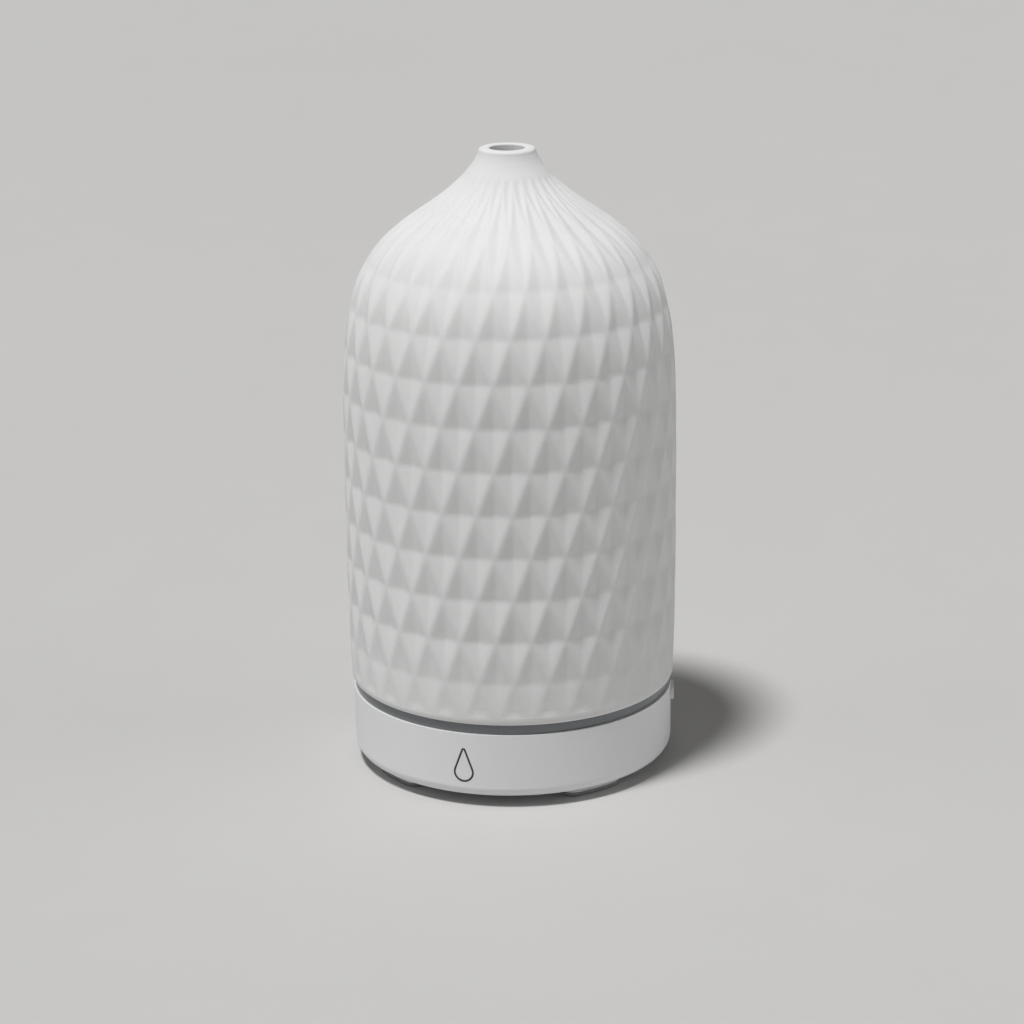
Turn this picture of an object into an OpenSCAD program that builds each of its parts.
// Ultrasonic essential oil diffuser: a faceted ceramic cover over a water tank, on a low plastic base.
// Millimetres, +Z up. The origin is on the floor at the centre, and -Y is the front.

/* [Cover] */
// Largest diameter of the ceramic cover
cover_d = 96; // [84:1:120]
// Height of the ceramic cover, from its rim to its mouth
cover_h = 155.8; // [140:0.1:190]
// Wall thickness of the ceramic
cover_wall = 3.2; // [2.4:0.1:4]
// How much the rim draws in below the largest radius
rim_inset = 0.7; // [0:0.1:2]
// Height over which the rim swells out to the full radius
swell_h = 37.8; // [20:0.1:45]
// Height of the dome, from the end of the straight wall to the mouth
dome_h = 91.9; // [80:0.1:100]
// Diameter of the mist outlet
mouth_d = 9.9; // [8:0.1:14]
// Thickness of the ceramic lip around the mist outlet
lip_w = 3.2; // [3:0.1:5]

/* [Relief] */
// Diamonds around the cover
diamonds_around = 30; // [20:1:40]
// Rows of diamonds from the rim to the neck
diamond_rows = 12; // [8:1:14]
// Depth of the middle of a diamond below its edges
relief_depth = 1.1; // [0.2:0.05:1.4]
// Height of the plain band above the rim
plain_band = 2.5; // [1:0.1:4]
// Plain height between the top row and the mouth
plain_neck = 7.8; // [5:0.1:12]

/* [Base] */
// How far the base housing stands inside the widest part of the cover
base_inset = 1.2; // [0.8:0.1:1.6]
// Height of the base housing
base_h = 19.2; // [19:0.1:26]
// Wall thickness of the base housing
base_wall = 2.4; // [2:0.1:3]
// Thickness of the deck that closes the housing at the top
deck_t = 2; // [1.8:0.1:3]
// Radius of the rounded lower edge
base_fillet = 3; // [0.5:0.1:3.2]
// Thickness of the bottom cover
bottom_t = 2; // [1.6:0.1:3]
// Clearance between the bottom cover and the housing wall
bottom_gap = 0.2; // [0.1:0.05:0.4]

/* [Feet] */
// Height of the feet
foot_h = 3; // [2.6:0.1:5]
// Thickness of the rubber pad under each foot
pad_t = 1.2; // [0.8:0.1:1.6]
// How far the feet stand inside the housing's inner wall
foot_inset = 1.9; // [1.8:0.1:4]
// Width of a foot across its arc
foot_w = 7; // [6.4:0.1:8]
// Angle that each foot spans
foot_span = 28; // [20:1:40]
// Angle of the first foot past the diagonal
foot_turn = 7; // [4:1:9]

/* [Light ring] */
// Height of the smoked light ring
ring_h = 3; // [2:0.1:4]
// How far the light ring stands inside the housing's outer face
ring_inset = 0.6; // [0:0.1:1.5]
// Width of the light ring across its section
ring_w = 5.7; // [5:0.1:6.2]
// Number of lamps under the light ring
lamp_count = 12; // [6:6:12]

/* [Tank] */
// Height of the tank above the light ring
tank_h = 52; // [36:1:60]
// Wall thickness of the tank
tank_wall = 1.8; // [1.4:0.1:2.4]
// Height of the collar that centres the ceramic cover
collar_h = 4; // [3:0.1:6]
// Clearance between the collar and the ceramic cover
cover_gap = 1.2; // [0.3:0.1:1.6]
// Inner diameter of the air duct that stands in the tank
duct_d = 19; // [14:0.5:20]
// Height of the air duct above the tank floor
duct_h = 46; // [30:1:50]

/* [Inner lid] */
// Thickness of the inner lid
lid_t = 1.6; // [1.2:0.1:2.4]
// Depth of the lid's skirt inside the tank
skirt_h = 6; // [4:0.5:10]
// Inner diameter of the mist tube
mist_d = 13; // [9:0.5:18]
// Height of the lid's cone
cone_h = 12; // [6:0.5:20]
// Height of the mist tube above the cone
mist_h = 24; // [10:1:30]

/* [Mist maker] */
// Diameter of the ultrasonic disc
piezo_d = 20; // [16:0.5:20]
// Thickness of the ultrasonic disc
piezo_t = 0.8; // [0.6:0.1:1.2]
// Distance of the disc's centre behind the middle of the base
piezo_y = 9.5; // [9:0.1:10]

/* [Fan] */
// Side of the square fan
fan_w = 30; // [25:1:30]
// Thickness of the fan
fan_t = 10; // [7:0.5:10]
// Gap between the fan and the well of the ultrasonic disc
fan_gap = 1.8; // [1.5:0.1:2.2]
// Number of fan blades
blade_count = 7; // [5:1:9]

/* [Buttons] */
// Angle of each button from the front
button_angle = 105; // [100:1:108]
// Width of a button
button_w = 9; // [7:0.1:10]
// Height of a button
button_h = 4; // [3.6:0.1:5]
// How far a button stands out of the housing
button_out = 0.9; // [0.5:0.1:1.5]
// Travel of a button when pressed
button_travel = 0.8; // [0.4:0.1:0.8]
// Clearance around a button in its opening
button_gap = 0.25; // [0.15:0.05:0.4]

/* [Power inlet] */
// Diameter of the barrel socket
socket_d = 6.4; // [5.6:0.1:6.6]
// Diameter of the socket's centre pin
socket_pin_d = 2; // [1.6:0.1:2.5]

/* [Hidden] */

$fn = 96;
EPS = 0.01;

// Heights of the stack, from the floor up
housing_z = foot_h;
bottom_z = foot_h + 0.2;
bottom_top = bottom_z + bottom_t;
housing_top = housing_z + base_h;
deck_z = housing_top - deck_t;
ring_top = housing_top + ring_h;
cover_z = ring_top;

// Radii of the cover and the base
cover_r = cover_d / 2;
base_r = cover_r - base_inset;
inner_r = base_r - base_wall;
ring_r = base_r - ring_inset;
ring_in = ring_r - ring_w;
foot_r = inner_r - foot_inset;

// Profile of the cover, as radius and height above its rim
mouth_r = mouth_d / 2;
neck_r = mouth_r + lip_w;
dome_z = cover_h - dome_h;
ogee = [25.1, cover_h - 17.8];
dome_curve = [[cover_r, dome_z], [cover_r, dome_z + 49.8], [cover_r - 1.6, dome_z + 60.2], ogee];
neck_curve = [ogee, [17.6, cover_h - 12.85], [neck_r + 1.7, cover_h - 6.4], [neck_r, cover_h - 0.9]];
bore_h = 9;
row_h = (cover_h - plain_neck) / diamond_rows;

// Tank and lid
ring_seat = 0.3;
tank_foot_r = ring_in - ring_seat;
collar_r = cover_r - rim_inset - cover_wall - cover_gap;
tank_r = collar_r - 2.2;
tank_in = tank_r - tank_wall;
tank_floor = housing_top + 2;
tank_top = ring_top + tank_h;
duct_r = duct_d / 2;
duct_wall = 1.3;
spigot_h = 5;
spigot_wall = 1.5;
spigot_gap = 0.1;
mist_r = mist_d / 2;
lid_gap = 0.3;

// Mist maker, hung in a well under the tank floor
seal_r = piezo_d / 2 + 2;
piezo_lip = 1.8;
well_r = seal_r + 1.5;
well_gap = 0.3;
seal_h = 3.4;
seal_roof = 1.6;
well_z = tank_floor - 2 - seal_roof - seal_h;
retainer_t = 1.6;
retainer_ear_r = well_r + 4;
ear_r = 3;
retainer_ears = [60, 180, 300];

// Fan, hung under the deck
fan_lift = 2;
fan_y = well_r + fan_gap + fan_w / 2 - piezo_y;
fan_z = deck_z - fan_lift - fan_t;
fan_bore = fan_w / 2 - 1;
fan_hole = fan_w / 2 - 3;
hub_r = 6.5;

// Fasteners: shank radius, head radius and head height
small_screw = [1, 2, 1.4];
case_screw = [1.3, 2.4, 1.8];
screw_gap = 0.02;
case_boss_r = 3;
case_screw_at = foot_r - foot_w / 2;
foot_arc = foot_span - foot_w / case_screw_at * 180 / PI;
tank_screw_at = [60, 140, 220, 300];
tank_screw_r = tank_in - 6.7;
board_screw_at = [118, 165, 195, 242];

// Circuit boards
board_t = 1.6;
board_z = bottom_top + 2.8;
board_top = board_z + board_t;
board_in = piezo_y + well_r + 1;
board_screw_r = board_in + 6;
board_out = inner_r - 2.4;
board_from = 93;
lamp_board_t = 1;
lamp_h = 1.6;
lamp_w = 3.5;
lamp_z = deck_z - lamp_h;
lamp_hole_r = 1.9;
lamp_r = inner_r - lamp_hole_r - 0.3;
lamp_board_in = inner_r - 4.6;
lamp_board_out = inner_r - 0.4;
lamp_board_clear = 10;
peg_at = [15, 75, 130, 165];

// Buttons and their switches
button_z = housing_top - 1.5 - button_h / 2;
flange_t = 1;
flange_r = inner_r - 0.6;
switch_t = 3.1;
switch_tip = 0.6;
stem_end = inner_r - 3.1;
switch_face = stem_end - button_travel - 0.2 - switch_tip - switch_t;
switch_board_t = 1.2;
switch_board_w = 11;

// Power socket
socket_w = 9;
socket_l = 13;
socket_h = 7.6;
socket_face = inner_r - 0.5;
socket_z = board_top + socket_h / 2;

// Plugs of the wire leads on the control board
plug = [4.4, 5, 5];
plug_at = [100, 260];
plug_r = board_in + 3;
lead_r = 0.9;
lead_z = board_top + 3;

// Angles run from the front, -Y, towards +X.
function polar(r, a) = [r * sin(a), -r * cos(a)];

// Point beside the plug at angle a, a distance out from its middle along the board
function beside_plug(a, out) = [each polar(plug_r, a) + out * [cos(a), sin(a)], lead_z];

function bezier(p, t) = pow(1 - t, 3) * p[0] + 3 * t * pow(1 - t, 2) * p[1]
    + 3 * t * t * (1 - t) * p[2] + pow(t, 3) * p[3];

function bezier_slope(p, t) = 3 * pow(1 - t, 2) * (p[1] - p[0])
    + 6 * t * (1 - t) * (p[2] - p[1]) + 3 * t * t * (p[3] - p[2]);

// Parameter of the curve at height z, by halving the interval
function bezier_at(p, z, lo = 0, hi = 1, steps = 24) =
    steps == 0 ? (lo + hi) / 2
    : bezier(p, (lo + hi) / 2)[1] < z ? bezier_at(p, z, (lo + hi) / 2, hi, steps - 1)
    : bezier_at(p, z, lo, (lo + hi) / 2, steps - 1);

function profile_r(z) =
    z < swell_h ? cover_r - rim_inset * pow(1 - z / swell_h, 2)
    : z < dome_z ? cover_r
    : z < ogee[1] ? bezier(dome_curve, bezier_at(dome_curve, z))[0]
    : bezier(neck_curve, bezier_at(neck_curve, z))[0];

// Point one wall thickness inside the curve at parameter t
function inner_point(p, t) =
    let (at = bezier(p, t), along = bezier_slope(p, t), size = norm(along))
    [max(mouth_r, at[0] - cover_wall * along[1] / size), at[1] + cover_wall * along[0] / size];

// Tank radius and diamonds share this fade: full on the wall, shallower where the rows crowd together
function relief(z) = relief_depth * sqrt(profile_r(z) / cover_r);

// A ring of the cover: [radius, height, depth of the low corners, row parity, half-step turn]
function plain_ring(r, z) = [r, z, 0, 0, 0];

outer_rings = [
    plain_ring(profile_r(0) - 0.9, 0),
    plain_ring(profile_r(0) - 0.25, 0.35),
    plain_ring(profile_r(1), 1),
    plain_ring(profile_r(plain_band), plain_band),
    for (k = [1 : 2 * diamond_rows])
        let (z = k * row_h / 2, on_line = k % 2 == 0, last = k == 2 * diamond_rows)
        [profile_r(z), z, on_line && !last ? relief(z) : 0, (k / 2) % 2, on_line ? 0 : 1],
];
lip_rings = [
    plain_ring(profile_r(cover_h - 4), cover_h - 4),
    plain_ring(neck_r, cover_h - 0.9),
    plain_ring(neck_r - 0.25, cover_h - 0.4),
    plain_ring(neck_r - 1.1, cover_h),
    plain_ring(mouth_r + 0.45, cover_h),
    plain_ring(mouth_r, cover_h - 0.45),
    plain_ring(mouth_r, cover_h - bore_h),
];
inner_rings = [
    for (t = [0.5, 0.1]) let (p = inner_point(neck_curve, t)) plain_ring(p[0], p[1]),
    for (t = [0.88, 0.72, 0.55, 0.33, 0]) let (p = inner_point(dome_curve, t)) plain_ring(p[0], p[1]),
    plain_ring(cover_r - cover_wall, swell_h),
    plain_ring(profile_r(0) - cover_wall, 0),
];
cover_rings = concat(outer_rings, lip_rings, inner_rings);

module base_housing() {
    root_z = deck_z + 1;
    color("whitesmoke") difference() {
        union() {
            housing_shell();
            at_feet(case_screw_at) post(bottom_top, root_z, case_boss_r);
            at_angles(board_screw_at, board_screw_r) post(board_top, root_z, 2.5);
            at_piezo_ears() post(well_z, root_z, ear_r);
            at_fan_corners() post(deck_z - fan_lift, root_z, 2.5);
            translate([0, -fan_y, 0]) post(deck_z - fan_lift, root_z, fan_hole + 1);
            at_pegs() {
                post(lamp_z, root_z, 1.2);
                post(lamp_z - lamp_board_t - 0.4, root_z, 0.8);
            }
        }
        translate([0, -fan_y, 0]) post(fan_z, housing_top + 1, fan_hole);
        translate([0, piezo_y, 0]) post(well_z, housing_top + 1, well_r + well_gap);
        at_lamps() post(deck_z - 1, housing_top + 1, lamp_hole_r);
        translate([0, 0, housing_top - 0.9]) gasket_shape(1, 0.05);
        at_feet(case_screw_at) post(bottom_top - 1, bottom_top + 8, case_screw[0] + screw_gap);
        at_angles(tank_screw_at, tank_screw_r) post(deck_z - 1, housing_top + 1, 1.3);
        at_angles(board_screw_at, board_screw_r) post(board_top - 1, board_top + 6, small_screw[0] + screw_gap);
        at_piezo_ears() post(well_z - 1, well_z + 2.6, small_screw[0] + screw_gap);
        at_fan_corners() post(deck_z - fan_lift - 1, deck_z + 1.2, small_screw[0] + screw_gap);
        for (side = [-1, 1]) at_button(side) button_opening();
        translate([0, inner_r - 3, socket_z]) rotate([-90, 0, 0]) cylinder(d = socket_d + 2, h = 8);
    }
}

module housing_shell() {
    rotate_extrude() difference() {
        union() {
            translate([0, housing_z + base_fillet]) square([base_r, base_h - base_fillet]);
            translate([0, housing_z]) square([base_r - base_fillet, base_h]);
            translate([base_r - base_fillet, housing_z + base_fillet]) circle(base_fillet, $fn = 48);
        }
        translate([-1, housing_z - 1]) square([inner_r + 1, deck_z - housing_z + 1]);
        translate([-base_r, 0]) square([base_r, housing_top + 1]);
    }
}

module bottom_cover() {
    color("white") difference() {
        union() {
            translate([0, 0, bottom_z]) cylinder(r = inner_r - bottom_gap, h = bottom_t);
            translate([0, 0, pad_t]) foot_arcs(bottom_z - pad_t + EPS);
            at_feet(case_screw_at) post(bottom_z, bottom_top, case_boss_r);
        }
        at_feet(case_screw_at) {
            post(0, pad_t + 0.3 + case_screw[2], case_screw[1] + 0.2);
            post(0, bottom_top + 1, case_screw[0] + 0.2);
        }
        translate([0, -fan_y, bottom_z - 1]) vent_slots(bottom_t + 2);
    }
}

module vent_slots(h) {
    slot = 1.8;
    pitch = 3.6;
    reach = fan_bore - 1;
    for (i = [-3 : 3]) {
        half = sqrt(reach * reach - i * i * pitch * pitch);
        translate([i * pitch - slot / 2, -half, 0]) cube([slot, 2 * half, h]);
    }
}

module foot_pads() {
    color("dimgray") foot_arcs(pad_t);
}

module foot_arcs(h) {
    at_feet(0) {
        rotate([0, 0, -90 - foot_arc / 2]) rotate_extrude(angle = foot_arc)
            translate([foot_r - foot_w, 0]) square([foot_w, h]);
        for (side = [-1, 1]) rotate([0, 0, side * foot_arc / 2])
            translate([0, -case_screw_at, 0]) cylinder(d = foot_w, h = h);
    }
}

module bottom_screws() {
    color("silver") at_feet(case_screw_at)
        screw(case_screw, pad_t + 0.3, bottom_top + 7.5);
}

module light_ring() {
    color([0.35, 0.37, 0.39]) translate([0, 0, housing_top]) difference() {
        cylinder(r = ring_r, h = ring_h);
        translate([0, 0, -1]) cylinder(r = ring_in, h = ring_h + 2);
    }
}

module lamp_boards() {
    color("darkgreen") difference() {
        translate([0, 0, lamp_z - lamp_board_t]) difference() {
            cylinder(r = lamp_board_out, h = lamp_board_t);
            translate([0, 0, -1]) cylinder(r = lamp_board_in, h = lamp_board_t + 2);
        }
        for (side = [-1, 1]) rotate([0, 0, side * button_angle])
            translate([-lamp_board_clear, -base_r, 0]) cube([2 * lamp_board_clear, base_wall + 12, deck_z]);
        at_feet(case_screw_at) post(0, deck_z, case_boss_r + 0.6);
        at_pegs() post(0, deck_z, 0.95);
    }
}

module lamps() {
    color("lightyellow") at_lamps() translate([-lamp_w / 2, -lamp_w / 2, lamp_z])
        cube([lamp_w, lamp_w, lamp_h - 0.2]);
}

module tank() {
    color("ghostwhite") difference() {
        union() {
            tank_shell();
            translate([0, piezo_y, 0]) post(well_z, tank_floor, well_r);
            at_angles(tank_screw_at, tank_screw_r) post(tank_floor - EPS, tank_floor + 5, 3.5);
            translate([0, -fan_y, 0]) post(tank_floor - EPS, tank_floor + spigot_h, duct_r + spigot_wall);
        }
        translate([0, piezo_y, 0]) {
            post(well_z - 1, well_z + seal_h, seal_r + 0.1);
            post(well_z, tank_floor + 1, piezo_d / 2 - piezo_lip);
            translate([0, 0, tank_floor - 2]) cylinder(r1 = piezo_d / 2 - piezo_lip, r2 = seal_r + 1, h = 2 + EPS);
        }
        translate([0, -fan_y, 0]) post(housing_top - 1, tank_floor + spigot_h + 1, duct_r);
        at_angles(tank_screw_at, tank_screw_r) post(housing_top - 1, tank_floor + 3.6, small_screw[0] + screw_gap);
    }
}

module tank_shell() {
    rotate_extrude() polygon([
        [0, housing_top], [tank_foot_r, housing_top], [tank_foot_r, ring_top], [collar_r, ring_top],
        [collar_r, ring_top + collar_h - 1], [collar_r - 1, ring_top + collar_h],
        [tank_r, ring_top + collar_h], [tank_r, tank_top], [tank_in, tank_top],
        [tank_in, tank_floor + 3], [tank_in - 3, tank_floor], [0, tank_floor],
    ]);
}

// The duct is a sleeve that pushes down over the spigot on the tank floor.
module air_duct() {
    bore = duct_r + spigot_wall + spigot_gap;
    color("ghostwhite") translate([0, -fan_y, 0]) difference() {
        post(tank_floor, tank_floor + duct_h, bore + duct_wall);
        post(tank_floor - 1, tank_floor + duct_h + 1, bore);
    }
}

module tank_gasket() {
    color("gainsboro") translate([0, 0, housing_top - 0.9]) gasket_shape(0.9, 0);
}

module gasket_shape(h, gap) {
    difference() {
        cylinder(r = tank_foot_r - 1 + gap, h = h);
        translate([0, 0, -1]) cylinder(r = tank_foot_r - 2.4 - gap, h = h + 2);
    }
}

module tank_screws() {
    color("silver") at_angles(tank_screw_at, tank_screw_r)
        screw(small_screw, deck_z - small_screw[2], tank_floor + 3.2);
}

module piezo_seal() {
    color("lightgray") translate([0, piezo_y, 0]) difference() {
        post(well_z, well_z + seal_h, seal_r);
        post(well_z - 1, well_z + seal_h + 1, piezo_d / 2 - piezo_lip);
        post(well_z + seal_h / 2 - piezo_t / 2, well_z + seal_h / 2 + piezo_t / 2, piezo_d / 2);
    }
}

module piezo_disc() {
    color("goldenrod") translate([0, piezo_y, 0])
        post(well_z + seal_h / 2 - piezo_t / 2, well_z + seal_h / 2 + piezo_t / 2, piezo_d / 2);
}

module piezo_retainer() {
    color("silver") difference() {
        union() {
            translate([0, piezo_y, 0]) post(well_z - retainer_t, well_z, well_r);
            at_piezo_ears() {
                post(well_z - retainer_t, well_z, ear_r);
                translate([-ear_r, 0, well_z - retainer_t]) cube([2 * ear_r, 8, retainer_t]);
            }
        }
        translate([0, piezo_y, 0]) post(well_z - retainer_t - 1, well_z + 1, piezo_d / 2 - piezo_lip);
        at_piezo_ears() post(well_z - retainer_t - 1, well_z + 1, small_screw[0] + 0.15);
    }
}

module retainer_screws() {
    color("silver") at_piezo_ears()
        screw(small_screw, well_z - retainer_t - small_screw[2], well_z + 2.4);
}

module fan_frame() {
    color([0.15, 0.15, 0.16]) translate([0, -fan_y, fan_z]) {
        difference() {
            translate([-fan_w / 2, -fan_w / 2, 0]) cube([fan_w, fan_w, fan_t]);
            translate([0, 0, -1]) cylinder(r = fan_bore, h = fan_t + 2);
            for (x = [-1, 1], y = [-1, 1]) translate([x, y] * (fan_w / 2 - 3))
                translate([0, 0, -1]) cylinder(r = small_screw[0] + 0.2, h = fan_t + 2);
        }
        difference() {
            union() {
                cylinder(r = hub_r, h = 1.2);
                cylinder(r = 2.4, h = fan_t - 3);
                for (a = [90, 210, 330]) rotate([0, 0, a]) translate([0, -1, 0]) cube([fan_bore + 0.5, 2, 1.2]);
            }
            translate([0, 0, 0.8]) cylinder(r = 0.8, h = fan_t);
        }
    }
}

module fan_rotor() {
    color([0.22, 0.22, 0.24]) translate([0, -fan_y, fan_z]) {
        difference() {
            translate([0, 0, 1.7]) cylinder(r = hub_r, h = fan_t - 2.5);
            translate([0, 0, 1]) cylinder(r = hub_r - 0.9, h = fan_t - 3);
        }
        translate([0, 0, 1]) cylinder(r = 0.75, h = fan_t - 2);
        for (i = [0 : blade_count - 1]) rotate([0, 0, i * 360 / blade_count])
            translate([hub_r - 0.4, 0, fan_t / 2 - 0.2]) rotate([40, 0, 0])
                translate([0, -3.6, -0.4]) cube([fan_bore - hub_r - 0.4, 7.2, 0.8]);
    }
}

module fan_screws() {
    color("silver") at_fan_corners() screw(small_screw, fan_z - small_screw[2], deck_z + 1);
}

module control_board() {
    color("darkgreen") difference() {
        rotate([0, 0, board_from - 90]) rotate_extrude(angle = 360 - 2 * board_from)
            translate([board_in, board_z]) square([board_out - board_in, board_t]);
        at_feet(case_screw_at) post(0, deck_z, case_boss_r + 0.5);
        at_angles(board_screw_at, board_screw_r) post(0, deck_z, small_screw[0] + 0.15);
    }
}

module board_screws() {
    color("silver") at_angles(board_screw_at, board_screw_r)
        screw(small_screw, board_z - small_screw[2], board_top + 5.5);
}

module power_socket() {
    color([0.12, 0.12, 0.13]) difference() {
        translate([-socket_w / 2, socket_face - socket_l, board_top]) cube([socket_w, socket_l, socket_h]);
        translate([0, socket_face - socket_l + 2, socket_z]) rotate([-90, 0, 0])
            cylinder(d = socket_d, h = socket_l);
    }
}

module socket_pin() {
    color("gold") translate([0, socket_face - socket_l + 2, socket_z]) rotate([-90, 0, 0])
        cylinder(d = socket_pin_d, h = socket_l - 3);
}

module heat_sink() {
    color("silver") at_angles([126], board_out - 5.5) translate([-4, -2.5, board_top]) difference() {
        cube([8, 5, 7]);
        for (x = [1.1, 3.3, 5.5]) translate([x, -1, 1.6]) cube([1.4, 7, 6]);
    }
}

module drive_coils() {
    color("saddlebrown") at_angles([135, 225], board_in + 4) {
        post(board_top, board_top + 0.9, 4);
        post(board_top, board_top + 5.5, 2.9);
        post(board_top + 4.7, board_top + 5.6, 4);
    }
}

module filter_capacitors() {
    color("slategray") at_angles([158, 202], board_out - 5) post(board_top, board_top + 7.7, 3.15);
}

module control_chips() {
    color([0.1, 0.1, 0.1]) for (spot = [[5, 241], [8, 214]])
        at_angles([spot[1]], board_out - spot[0]) translate([-2.5, -2, board_top]) cube([5, 4, 1.5]);
}

module wire_plugs() {
    color("ivory") at_angles(plug_at, plug_r) translate([-plug[0] / 2, -plug[1] / 2, board_top]) cube(plug);
}

module mist_switch_board() {
    switch_board(1);
}

module light_switch_board() {
    switch_board(-1);
}

module switch_board(side) {
    color("darkgreen") at_button(side)
        translate([-switch_board_w / 2, switch_board_t - switch_face - switch_board_t, board_top])
            cube([switch_board_w, switch_board_t, deck_z - board_top - 0.3]);
}

module mist_switch() {
    tact_switch(1);
}

module light_switch() {
    tact_switch(-1);
}

module tact_switch(side) {
    color([0.2, 0.2, 0.2]) at_button(side) translate([0, -switch_face, deck_z - 3.1]) {
        translate([-3, -switch_t, -3]) cube([6, switch_t, 6]);
        translate([0, 0, 1.2]) rotate([90, 0, 0]) cylinder(r = 1.7, h = switch_t + switch_tip);
    }
}

module mist_button() {
    push_button(1);
}

module light_button() {
    push_button(-1);
}

module push_button(side) {
    color("whitesmoke") at_button(side) translate([0, 0, button_z]) {
        intersection() {
            button_bar(base_r + button_out + 1, button_w, button_h);
            translate([0, 0, -button_h]) cylinder(r = base_r + button_out, h = 2 * button_h);
            translate([-button_w, -base_r - 5, -button_h])
                cube([2 * button_w, base_r + 5 - flange_r + flange_t, 2 * button_h]);
        }
        translate([-button_w / 2 - 1, -flange_r, -button_h / 2]) cube([button_w + 2, flange_t, button_h]);
        translate([0, -stem_end, 0]) rotate([90, 0, 0]) cylinder(r = 1.5, h = flange_r - stem_end);
    }
}

// A bar with round ends that runs from the axis of the base to radius r
module button_bar(r, w, h) {
    rotate([90, 0, 0]) linear_extrude(r) {
        square([w - h, h], center = true);
        for (side = [-1, 1]) translate([side * (w - h) / 2, 0]) circle(d = h, $fn = 48);
    }
}

module button_opening() {
    w = button_w + 2 * button_gap;
    h = button_h + 2 * button_gap;
    translate([0, 0, button_z]) {
        intersection() {
            button_bar(base_r + 2, w, h);
            translate([-w, -base_r - 2, -h]) cube([2 * w, base_wall + 4, 2 * h]);
        }
        translate([-w / 2 - 1.2, -inner_r, -h / 2]) cube([w + 2.4, 6, h]);
    }
}

module fan_lead() {
    z = fan_z + 3;
    color("firebrick") tube([
        [fan_w / 2, -10, z], [fan_w / 2 + 2, -10, z], [20, -8.2, z + 0.4], [24, -4, z + 0.8],
        beside_plug(plug_at[0], -plug[0] / 2 - 2), beside_plug(plug_at[0], -plug[0] / 2),
    ], lead_r);
}

module piezo_lead() {
    start = well_z + seal_h / 2 - piezo_t / 2;
    color("steelblue") tube([
        [-4, piezo_y, start], [-4, piezo_y, start - 3], [-6, 9.3, lead_z + 0.7], [-12, 8, lead_z],
        [-19, 5.5, lead_z], [each polar(plug_r - plug[1] / 2 - 2, plug_at[1]), lead_z],
        [each polar(plug_r - plug[1] / 2, plug_at[1]), lead_z],
    ], lead_r);
}

module lamp_lead() {
    end = lamp_z - lamp_board_t;
    at = polar(lamp_board_in + 1.5, 240.7);
    post_at = polar(board_screw_r, board_screw_at[3]);
    color("darkorange") tube([
        beside_plug(plug_at[1], -plug[0] / 2), beside_plug(plug_at[1], -plug[0] / 2 - 1.5),
        [each post_at + [4.2, -0.6], lead_z + 3.7], [each post_at + [2.3, 3.7], end - 1],
        [each post_at + [-2, 4.8], end - 1.2],
        [each at - [-2.5, 0.6], end - 1.7], [each at - [-0.4, 0.1], end - 1.8], [each at, end - 1.1],
        [each at, end],
    ], 0.7);
}

module inner_lid() {
    lid_r = tank_r + 0.6;
    cone_r = tank_in - lid_gap - 2.4;
    skirt_out = tank_in - lid_gap;
    tube_out = mist_r + 1.5;
    color("ghostwhite") translate([0, 0, tank_top]) rotate_extrude() polygon([
        [skirt_out - 1.4, -skirt_h], [skirt_out, -skirt_h], [skirt_out, 0], [lid_r, 0], [lid_r, lid_t],
        [cone_r, lid_t], [tube_out, lid_t + cone_h], [tube_out, lid_t + cone_h + mist_h],
        [mist_r, lid_t + cone_h + mist_h], [mist_r, cone_h - 0.6], [cone_r - 1, 0], [skirt_out - 1.4, 0],
    ]);
}

module ceramic_cover() {
    sides = 2 * diamonds_around;
    step = 360 / sides;
    count = len(cover_rings);
    points = [
        for (ring = cover_rings, j = [0 : sides - 1])
            let (low = (ring[3] + j) % 2 == 1 ? ring[2] : 0)
            [each polar(ring[0] - low, step * (j + ring[4] / 2)), cover_z + ring[1]],
    ];
    faces = [
        for (i = [0 : count - 1], j = [0 : sides - 1])
            let (
                up = (i + 1) % count,
                turned = cover_rings[i][4] == 1 && cover_rings[up][4] == 0,
                a = i * sides + j, a_next = i * sides + (j + 1) % sides,
                b = up * sides + j, b_next = up * sides + (j + 1) % sides
            )
            each turned ? [[a, b, b_next], [a, b_next, a_next]] : [[a, b, a_next], [a_next, b, b_next]],
    ];
    color("white") polyhedron(points, faces, convexity = 6);
}

// A round bar along Z from one height to another
module post(from, to, r) {
    translate([0, 0, from]) cylinder(r = r, h = to - from);
}

// A screw driven upwards: its head starts at height z and its tip ends at height tip
module screw(kind, z, tip) {
    difference() {
        union() {
            post(z, z + kind[2], kind[1]);
            post(z, tip, kind[0]);
        }
        for (a = [0, 90]) rotate([0, 0, a]) translate([-kind[1] * 0.6, -0.3, z - 1])
            cube([kind[1] * 1.2, 0.6, 1.7]);
    }
}

module at_angles(angles, r) {
    for (a = angles) rotate([0, 0, a]) translate([0, -r, 0]) children();
}

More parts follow.
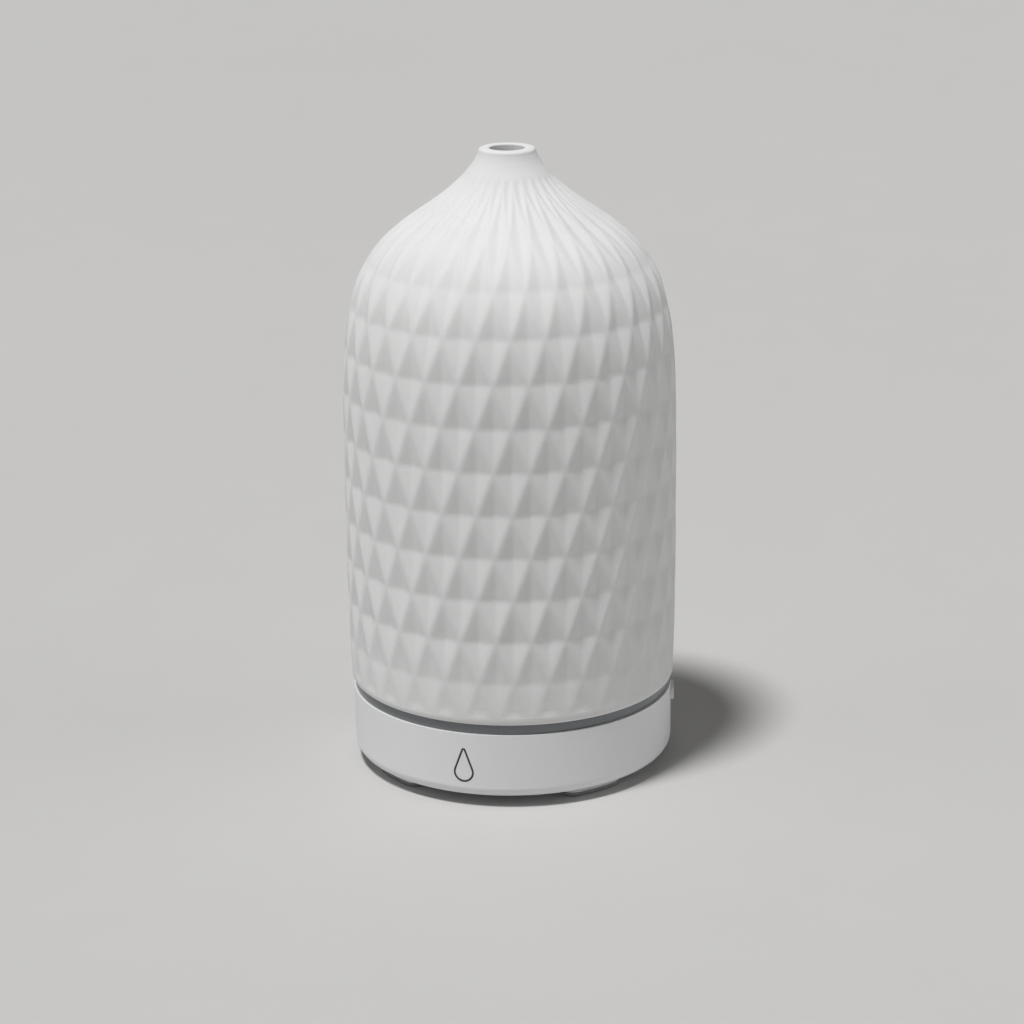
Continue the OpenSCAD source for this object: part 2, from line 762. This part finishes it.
module at_feet(r) {
    at_angles([for (i = [0 : 3]) 45 + foot_turn + 90 * i], r) children();
}

module at_lamps() {
    at_angles([for (i = [0 : lamp_count - 1]) i * 360 / lamp_count], lamp_r) children();
}

module at_pegs() {
    at_angles([for (a = peg_at, side = [-1, 1]) side * a], lamp_r) children();
}

module at_button(side) {
    rotate([0, 0, side * button_angle]) children();
}

module at_piezo_ears() {
    translate([0, piezo_y, 0]) at_angles(retainer_ears, retainer_ear_r) children();
}

module at_fan_corners() {
    for (x = [-1, 1], y = [-1, 1]) translate([0, -fan_y, 0]) translate([x, y] * (fan_w / 2 - 3)) children();
}

// A round tube of radius r swept along a path that stays off the vertical of the reference
module tube(path, r, sides = 8) {
    last = len(path) - 1;
    function heading(i) = path[min(i + 1, last)] - path[max(i - 1, 0)];
    function unit(v) = v / norm(v);
    points = [
        for (i = [0 : last], j = [0 : sides - 1])
            let (
                along = unit(heading(i)),
                across = unit(cross(along, [0.3, 1, 0.2])),
                over = cross(along, across),
                a = 360 * j / sides
            )
            path[i] + r * (across * cos(a) + over * sin(a)),
    ];
    walls = [
        for (i = [0 : last - 1], j = [0 : sides - 1])
            let (next = (j + 1) % sides)
            each [
                [i * sides + j, (i + 1) * sides + j, i * sides + next],
                [i * sides + next, (i + 1) * sides + j, (i + 1) * sides + next],
            ],
    ];
    ends = [[for (j = [0 : sides - 1]) j], [for (j = [sides - 1 : -1 : 0]) last * sides + j]];
    polyhedron(points, concat(walls, ends), convexity = 4);
}

base_housing();
bottom_cover();
foot_pads();
bottom_screws();
light_ring();
lamp_boards();
lamps();
tank();
air_duct();
tank_gasket();
tank_screws();
piezo_seal();
piezo_disc();
piezo_retainer();
retainer_screws();
fan_frame();
fan_rotor();
fan_screws();
control_board();
board_screws();
power_socket();
socket_pin();
heat_sink();
drive_coils();
filter_capacitors();
control_chips();
wire_plugs();
mist_switch_board();
mist_switch();
light_switch_board();
light_switch();
fan_lead();
piezo_lead();
lamp_lead();
mist_button();
light_button();
inner_lid();
ceramic_cover();
